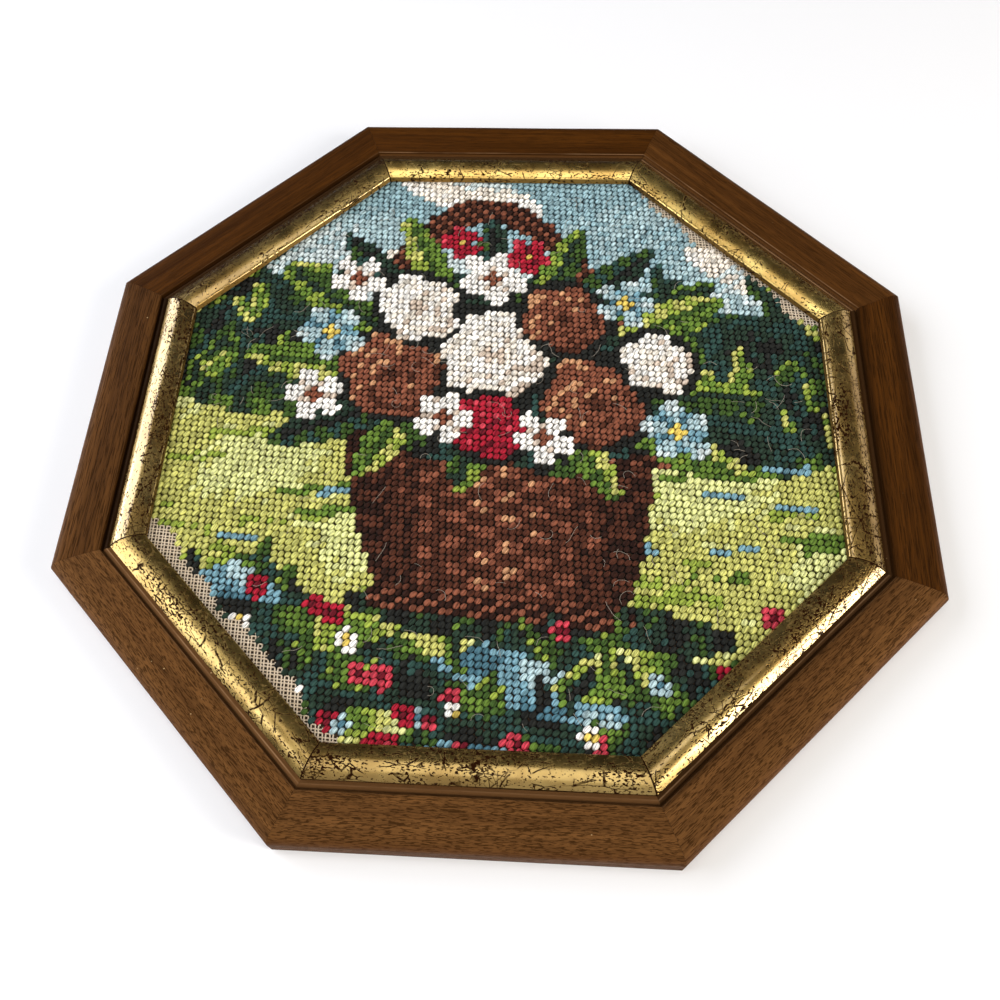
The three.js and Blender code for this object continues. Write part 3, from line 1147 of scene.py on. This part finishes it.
def woolMaterial():
    material, tree, shader = newMaterial("stitchWool")
    dye = put(tree, "ShaderNodeAttribute", attribute_name="wool").outputs["Color"]
    cell = put(tree, "ShaderNodeAttribute", attribute_name="cell").outputs["Vector"]
    around = put(tree, "ShaderNodeUVMap", uv_map="stitchMap").outputs[0]
    place = put(tree, "ShaderNodeTexCoord").outputs["Object"]
    height = put(tree, "ShaderNodeSeparateXYZ", {0: place}).outputs["Z"]
    axes = put(tree, "ShaderNodeSeparateXYZ", {0: around})
    # the fibres run along the yarn with a slow twist, and differ from stitch to stitch; their pale streaks
    # are partly fibre tone and partly painted highlight
    slow = calc(tree, "MULTIPLY", axes.outputs["X"], 1.8)
    fast = calc(tree, "MULTIPLY", axes.outputs["Y"], 8.0)
    twist = calc(tree, "ADD", slow, fast)
    own = put(tree, "ShaderNodeSeparateXYZ", {0: cell})
    ownX = calc(tree, "MULTIPLY", own.outputs["X"], 7.3)
    ownY = calc(tree, "MULTIPLY", own.outputs["Y"], 3.1)
    apart = calc(tree, "ADD", ownX, ownY)
    along = calc(tree, "MULTIPLY", axes.outputs["X"], 1.1)
    strandPlace = put(tree, "ShaderNodeCombineXYZ", {0: along, 1: twist, 2: apart}).outputs[0]
    strands = noiseAt(tree, strandPlace, 1, 3, 0.6)
    fluff = noiseAt(tree, place, 4200, 2, 0.6)
    fluffy = calc(tree, "ADD", strands, calc(tree, "MULTIPLY", fluff, 0.2))
    strandToneAndShine = between(tree, fluffy, 0.44, 0.76, 0.55, 1.75)
    # light that has bounced between two stitches leaves their creases dark and rich in colour
    crease = put(tree, "ShaderNodeGamma", {"Color": dye, "Gamma": 1.8}).outputs[0]
    crease = stretched(tree, crease, (0.5, 0.5, 0.5))
    skin = blendColours(tree, between(tree, height, 8 * mm, 8.65 * mm), crease, dye)
    # painted highlight: the streaks lift the dye well above its own colour
    grey = put(tree, "ShaderNodeCombineXYZ", {0: strandToneAndShine, 1: strandToneAndShine, 2: strandToneAndShine}).outputs[0]
    skin = blendColours(tree, 1.0, skin, grey, "MULTIPLY")
    tree.links.new(skin, shader.inputs["Base Color"])
    shader.inputs["Roughness"].default_value = 0.75
    shader.inputs["Specular IOR Level"].default_value = 0.12
    shader.inputs["Sheen Weight"].default_value = 0.03
    shader.inputs["Sheen Roughness"].default_value = 0.5
    relief = calc(tree, "ADD", strands, calc(tree, "MULTIPLY", fluff, 0.35))
    bump = put(tree, "ShaderNodeBump", {"Height": relief, "Strength": 0.8, "Distance": 0.16 * mm})
    tree.links.new(bump.outputs[0], shader.inputs["Normal"])
    return material


# which wools go into which piece of stitching
stitchFamilies = {
    "skyStitches": ["skyDeep", "sky", "skyPale"],
    "paleStitches": ["cream", "creamShade", "white", "yellow"],
    "meadowStitches": ["meadow", "meadowLight", "grass"],
    "leafStitches": ["leaf", "leafDeep"],
    "pineStitches": ["pine", "teal", "night"],
    "basketStitches": ["straw", "rust", "bark", "umber"],
    "flowerStitches": ["red", "redDeep", "redLight", "blue", "blueDeep"],
}


def buildStitches(chart, grid, s):
    x, y = gridPlace(chart.column, chart.row, grid)
    inside = sideDistance(x, y) < openingReach - grid["edgeInset"]
    inside &= stitchedPart(chart.column, chart.row, grid)
    random = np.random.default_rng(grid["seed"] + 1)
    shiftX = random.uniform(-1, 1, x.shape) * s["shiftSpread"]
    shiftY = random.uniform(-1, 1, x.shape) * s["shiftSpread"]
    shiftZ = random.uniform(-1, 1, x.shape) * s["shiftSpread"]
    tone = 1 + random.uniform(-1, 1, x.shape) * s["toneSpread"]
    template = stitchTemplate(s)
    tree = stitchTree()
    material = woolMaterial()
    dyes = np.array([colour(text)[:3] for text in wools.values()])
    pieces = []
    for name, family in stitchFamilies.items():
        chosen = inside & np.isin(chart.wool, [chart.names.index(n) for n in family])
        height = s["baseHeight"] + shiftZ[chosen]
        places = np.stack([(x + shiftX)[chosen], (y + shiftY)[chosen], height], axis=1)
        shades = dyes[chart.wool[chosen]] * tone[chosen][:, None]
        shades = np.concatenate([np.clip(shades, 0, 1), np.ones((len(shades), 1))], axis=1)
        cells = math.ceil(math.sqrt(len(places)))
        order = np.arange(len(places))
        squares = np.stack([order % cells, order // cells, np.zeros(len(places))], axis=1)
        piece = pointPiece(
            name, places, [("wool", "FLOAT_COLOR", shades), ("cell", "FLOAT_VECTOR", squares)]
        )
        applyTree(
            piece,
            tree,
            {
                "Stitch": template,
                "Length": s["length"],
                "Width": s["width"],
                "Height": s["height"],
                "Lean": s["lean"],
                "Lean Spread": s["leanSpread"],
                "Size Spread": s["sizeSpread"],
                "Fuzz Rate": float(s["fuzzRate"]),
                "Fuzz": s["fuzz"],
                "Cells": float(cells),
                "Cell Edge": s["cellEdge"],
                "Wool": material,
                "Seed": s["seed"],
            },
        )
        print(name, len(places), "stitches")
        pieces.append(piece)
    bpy.data.objects.remove(template)
    return pieces


stitches = buildStitches(chart, chartSettings, stitchSettings)


# the bare canvas that shows where the stitching stops
canvasSettings = {
    "threadRadius": 0.265 * mm,
    "weave": 0.15 * mm,
    "height": 7.92 * mm,
    "pairShift": 0.035,
    "reach": openingReach + 1.6 * mm,
    "under": 0.8,
    "sides": 6,
    "linen": "f2e4cd",
    "shade": "c9b190",
}


def canvasRuns(grid, s):
    # each thread of the canvas as runs of (column, row) crossings that no stitch covers
    crossings = np.arange(-2 * grid["reach"], 2 * grid["reach"] + 1) * 0.5
    runs = []
    for upright in (False, True):
        for index, line in enumerate(crossings):
            shift = s["pairShift"] * (1 if index % 2 else -1)
            steps = np.arange(crossings[0], crossings[-1] + 0.01, 0.25)
            column = np.full(steps.shape, line + shift) if upright else steps
            row = steps if upright else np.full(steps.shape, line + shift)
            x, y = gridPlace(column, row, grid)
            bare = ~stitchedPart(column, row, grid, s["under"])
            bare &= sideDistance(x, y) < s["reach"]
            phase = steps * 2 + index
            start = None
            for k in range(len(steps) + 1):
                here = k < len(steps) and bare[k]
                if here and start is None:
                    start = k
                if not here and start is not None:
                    if k - start > 2:
                        wave = np.cos(phase[start:k] * math.pi) * (1 if upright else -1)
                        runs.append(list(zip(x[start:k], y[start:k], wave)))
                    start = None
    return runs


def threadTree():
    # turns each run of edges into a woven round thread
    tree, given, result = newTree(
        "threads",
        [
            ("Thread Radius", "NodeSocketFloat"),
            ("Weave Height", "NodeSocketFloat"),
            ("Sides", "NodeSocketInt"),
            ("Fibre", "NodeSocketMaterial"),
        ],
    )
    wave = put(tree, "GeometryNodeInputNamedAttribute", {"Name": "wave"}, data_type="FLOAT")
    lift = calc(tree, "MULTIPLY", wave.outputs[0], given.outputs["Weave Height"])
    rise = put(tree, "ShaderNodeCombineXYZ", {"Z": lift})
    woven = put(
        tree, "GeometryNodeSetPosition", {"Geometry": given.outputs["Geometry"], "Offset": rise.outputs[0]}
    )
    curve = put(tree, "GeometryNodeMeshToCurve", {"Mesh": woven.outputs[0]})
    profile = put(
        tree,
        "GeometryNodeCurvePrimitiveCircle",
        {"Resolution": given.outputs["Sides"], "Radius": given.outputs["Thread Radius"]},
    )
    tube = put(
        tree,
        "GeometryNodeCurveToMesh",
        {"Curve": curve.outputs[0], "Profile Curve": profile.outputs[0], "Fill Caps": True},
    )
    smooth = put(tree, "GeometryNodeSetShadeSmooth", {"Geometry": tube.outputs[0]})
    real = put(tree, "GeometryNodeRealizeInstances", {0: smooth.outputs[0]})
    dressed = put(
        tree, "GeometryNodeSetMaterial", {"Geometry": real.outputs[0], "Material": given.outputs["Fibre"]}
    )
    tree.links.new(dressed.outputs[0], result.inputs[0])
    return tree


def linenMaterial(s):
    material, tree, shader = newMaterial("canvasLinen")
    place = put(tree, "ShaderNodeTexCoord").outputs["Object"]
    height = put(tree, "ShaderNodeSeparateXYZ", {0: place}).outputs["Z"]
    fibre = noiseAt(tree, place, 2600, 3, 0.6)
    patch = noiseAt(tree, place, 120, 2)
    skin = blendColours(tree, between(tree, fibre, 0.3, 0.7), colour(s["shade"]), colour(s["linen"]))
    skin = blendColours(tree, between(tree, patch, 0.3, 0.75, 0.0, 0.35), skin, colour("e9dccb"))
    # painted shade: the threads are darker lower down
    deep = between(tree, height, s["height"] - 0.4 * mm, s["height"] + 0.1 * mm, 0.4, 1.0)
    grey = put(tree, "ShaderNodeCombineXYZ", {0: deep, 1: deep, 2: deep}).outputs[0]
    skin = blendColours(tree, 1.0, skin, grey, "MULTIPLY")
    tree.links.new(skin, shader.inputs["Base Color"])
    shader.inputs["Roughness"].default_value = 0.85
    shader.inputs["Specular IOR Level"].default_value = 0.25
    bump = put(tree, "ShaderNodeBump", {"Height": fibre, "Strength": 0.5, "Distance": 0.06 * mm})
    tree.links.new(bump.outputs[0], shader.inputs["Normal"])
    return material


def threadPiece(name, runs, tree, material, s):
    places, edges, waves = [], [], []
    for run in runs:
        first = len(places)
        places += [(x, y, s["height"]) for x, y, wave in run]
        waves += [wave for x, y, wave in run]
        edges += [(k, k + 1) for k in range(first, len(places) - 1)]
    mesh = bpy.data.meshes.new(name)
    mesh.from_pydata(places, edges, [])
    attribute = mesh.attributes.new("wave", "FLOAT", "POINT")
    attribute.data.foreach_set("value", np.asarray(waves, dtype=np.float32))
    piece = bpy.data.objects.new(name, mesh)
    bpy.context.scene.collection.objects.link(piece)
    applyTree(
        piece,
        tree,
        {
            "Thread Radius": s["threadRadius"],
            "Weave Height": s["weave"],
            "Sides": s["sides"],
            "Fibre": material,
        },
    )
    print(f"{name}:", sum(len(p.vertices) - 2 for p in piece.data.polygons), "triangles")
    return piece


threads = threadTree()
canvasPaths = canvasRuns(chartSettings, canvasSettings)
canvas = threadPiece("canvasThreads", canvasPaths, threads, linenMaterial(canvasSettings), canvasSettings)


# loose fibres that lie over the wool
fibreSettings = {
    "count": 190,
    "steps": (5, 13),
    "stepLength": 0.8 * mm,
    "bend": 0.22,
    "shake": 0.16,
    "height": 8.98 * mm,
    "weave": 0.22 * mm,
    "threadRadius": 0.065 * mm,
    "sides": 3,
    "reach": openingReach - 5 * mm,
    "tint": "b3a898",
    "seed": 29,
}


def fibreRuns(s):
    chance = np.random.default_rng(s["seed"])
    runs = []
    while len(runs) < s["count"]:
        startX, startY = chance.uniform(-s["reach"], s["reach"], 2)
        steps = chance.integers(*s["steps"])
        turns = chance.normal(0, s["bend"]) + chance.normal(0, s["shake"], steps)
        heading = chance.uniform(0, 2 * math.pi) + np.cumsum(turns)
        x = startX + np.cumsum(np.cos(heading)) * s["stepLength"]
        y = startY + np.cumsum(np.sin(heading)) * s["stepLength"]
        # both ends dip into the wool
        wave = 2 * np.sin(np.linspace(0, math.pi, steps)) - 1
        if sideDistance(x, y).max() < s["reach"]:
            runs.append(list(zip(x, y, wave)))
    return runs


def fibreMaterial(s):
    material, tree, shader = newMaterial("looseFibre")
    shader.inputs["Base Color"].default_value = colour(s["tint"])
    shader.inputs["Roughness"].default_value = 0.9
    shader.inputs["Specular IOR Level"].default_value = 0.2
    return material


fibrePaths = fibreRuns(fibreSettings)
fibres = threadPiece("looseFibres", fibrePaths, threads, fibreMaterial(fibreSettings), fibreSettings)


# the cloth's ground under the stitches, its top painted dark as shade
groundSettings = {
    "top": 7.5 * mm,
    "rimRound": 0.2 * mm,
}


def octagonRing(shape, reach, height):
    corner = reach / math.cos(halfSide)
    turns = [(2 * k + 1) * halfSide for k in range(sideCount)]
    return [shape.verts.new((corner * math.cos(a), corner * math.sin(a), height)) for a in turns]


def buildGround(s):
    low, high = clothLow.z, s["top"]

    def build(shape):
        levels = [(clothReach - s["rimRound"], low), (clothReach, low + s["rimRound"])]
        levels += [(clothReach, high - s["rimRound"]), (clothReach - s["rimRound"], high)]
        rings = [octagonRing(shape, reach, height) for reach, height in levels]
        for ring, after in zip(rings, rings[1:]):
            for k in range(sideCount):
                n = (k + 1) % sideCount
                shape.faces.new((ring[k], ring[n], after[n], after[k]))
        shape.faces.new(list(reversed(rings[0])))
        shape.faces.new(rings[-1])

    piece = meshPiece("canvasGround", build)
    material, tree, shader = newMaterial("canvasGround")
    place = put(tree, "ShaderNodeTexCoord").outputs["Object"]
    # painted shade: the top is dark brown where the canvas holes and the gaps between stitches look into
    # shadow; the underside shows the linen weave
    weave = noiseAt(tree, place, 900, 3)
    shade = blendColours(tree, between(tree, weave, 0.3, 0.7), colour("2a1d12"), colour("4a3826"))
    axes = put(tree, "ShaderNodeSeparateXYZ", {0: place})
    below = between(tree, axes.outputs["Z"], s["top"] - 0.2 * mm, clothLow.z + 0.1 * mm)
    threadX = calc(tree, "SINE", calc(tree, "MULTIPLY", axes.outputs["X"], 2 * math.pi / (1.25 * mm)))
    threadY = calc(tree, "SINE", calc(tree, "MULTIPLY", axes.outputs["Y"], 2 * math.pi / (1.25 * mm)))
    mesh = calc(tree, "MAXIMUM", threadX, threadY)
    linen = blendColours(tree, between(tree, mesh, -0.3, 0.8), colour("6f5c45"), colour("c9b594"))
    shade = blendColours(tree, below, shade, linen)
    tree.links.new(shade, shader.inputs["Base Color"])
    bump = put(tree, "ShaderNodeBump", {"Height": mesh, "Strength": 0.4, "Distance": 0.1 * mm})
    tree.links.new(bump.outputs[0], shader.inputs["Normal"])
    shader.inputs["Roughness"].default_value = 0.95
    piece.data.materials.append(material)
    return piece


ground = buildGround(groundSettings)
print("ground built")


def declareCloth(ground, pieces):
    for piece in [ground, *pieces]:
        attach(piece, "root")
    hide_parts("needlepoint_cloth")


declareCloth(ground, [canvas, fibres, *stitches])
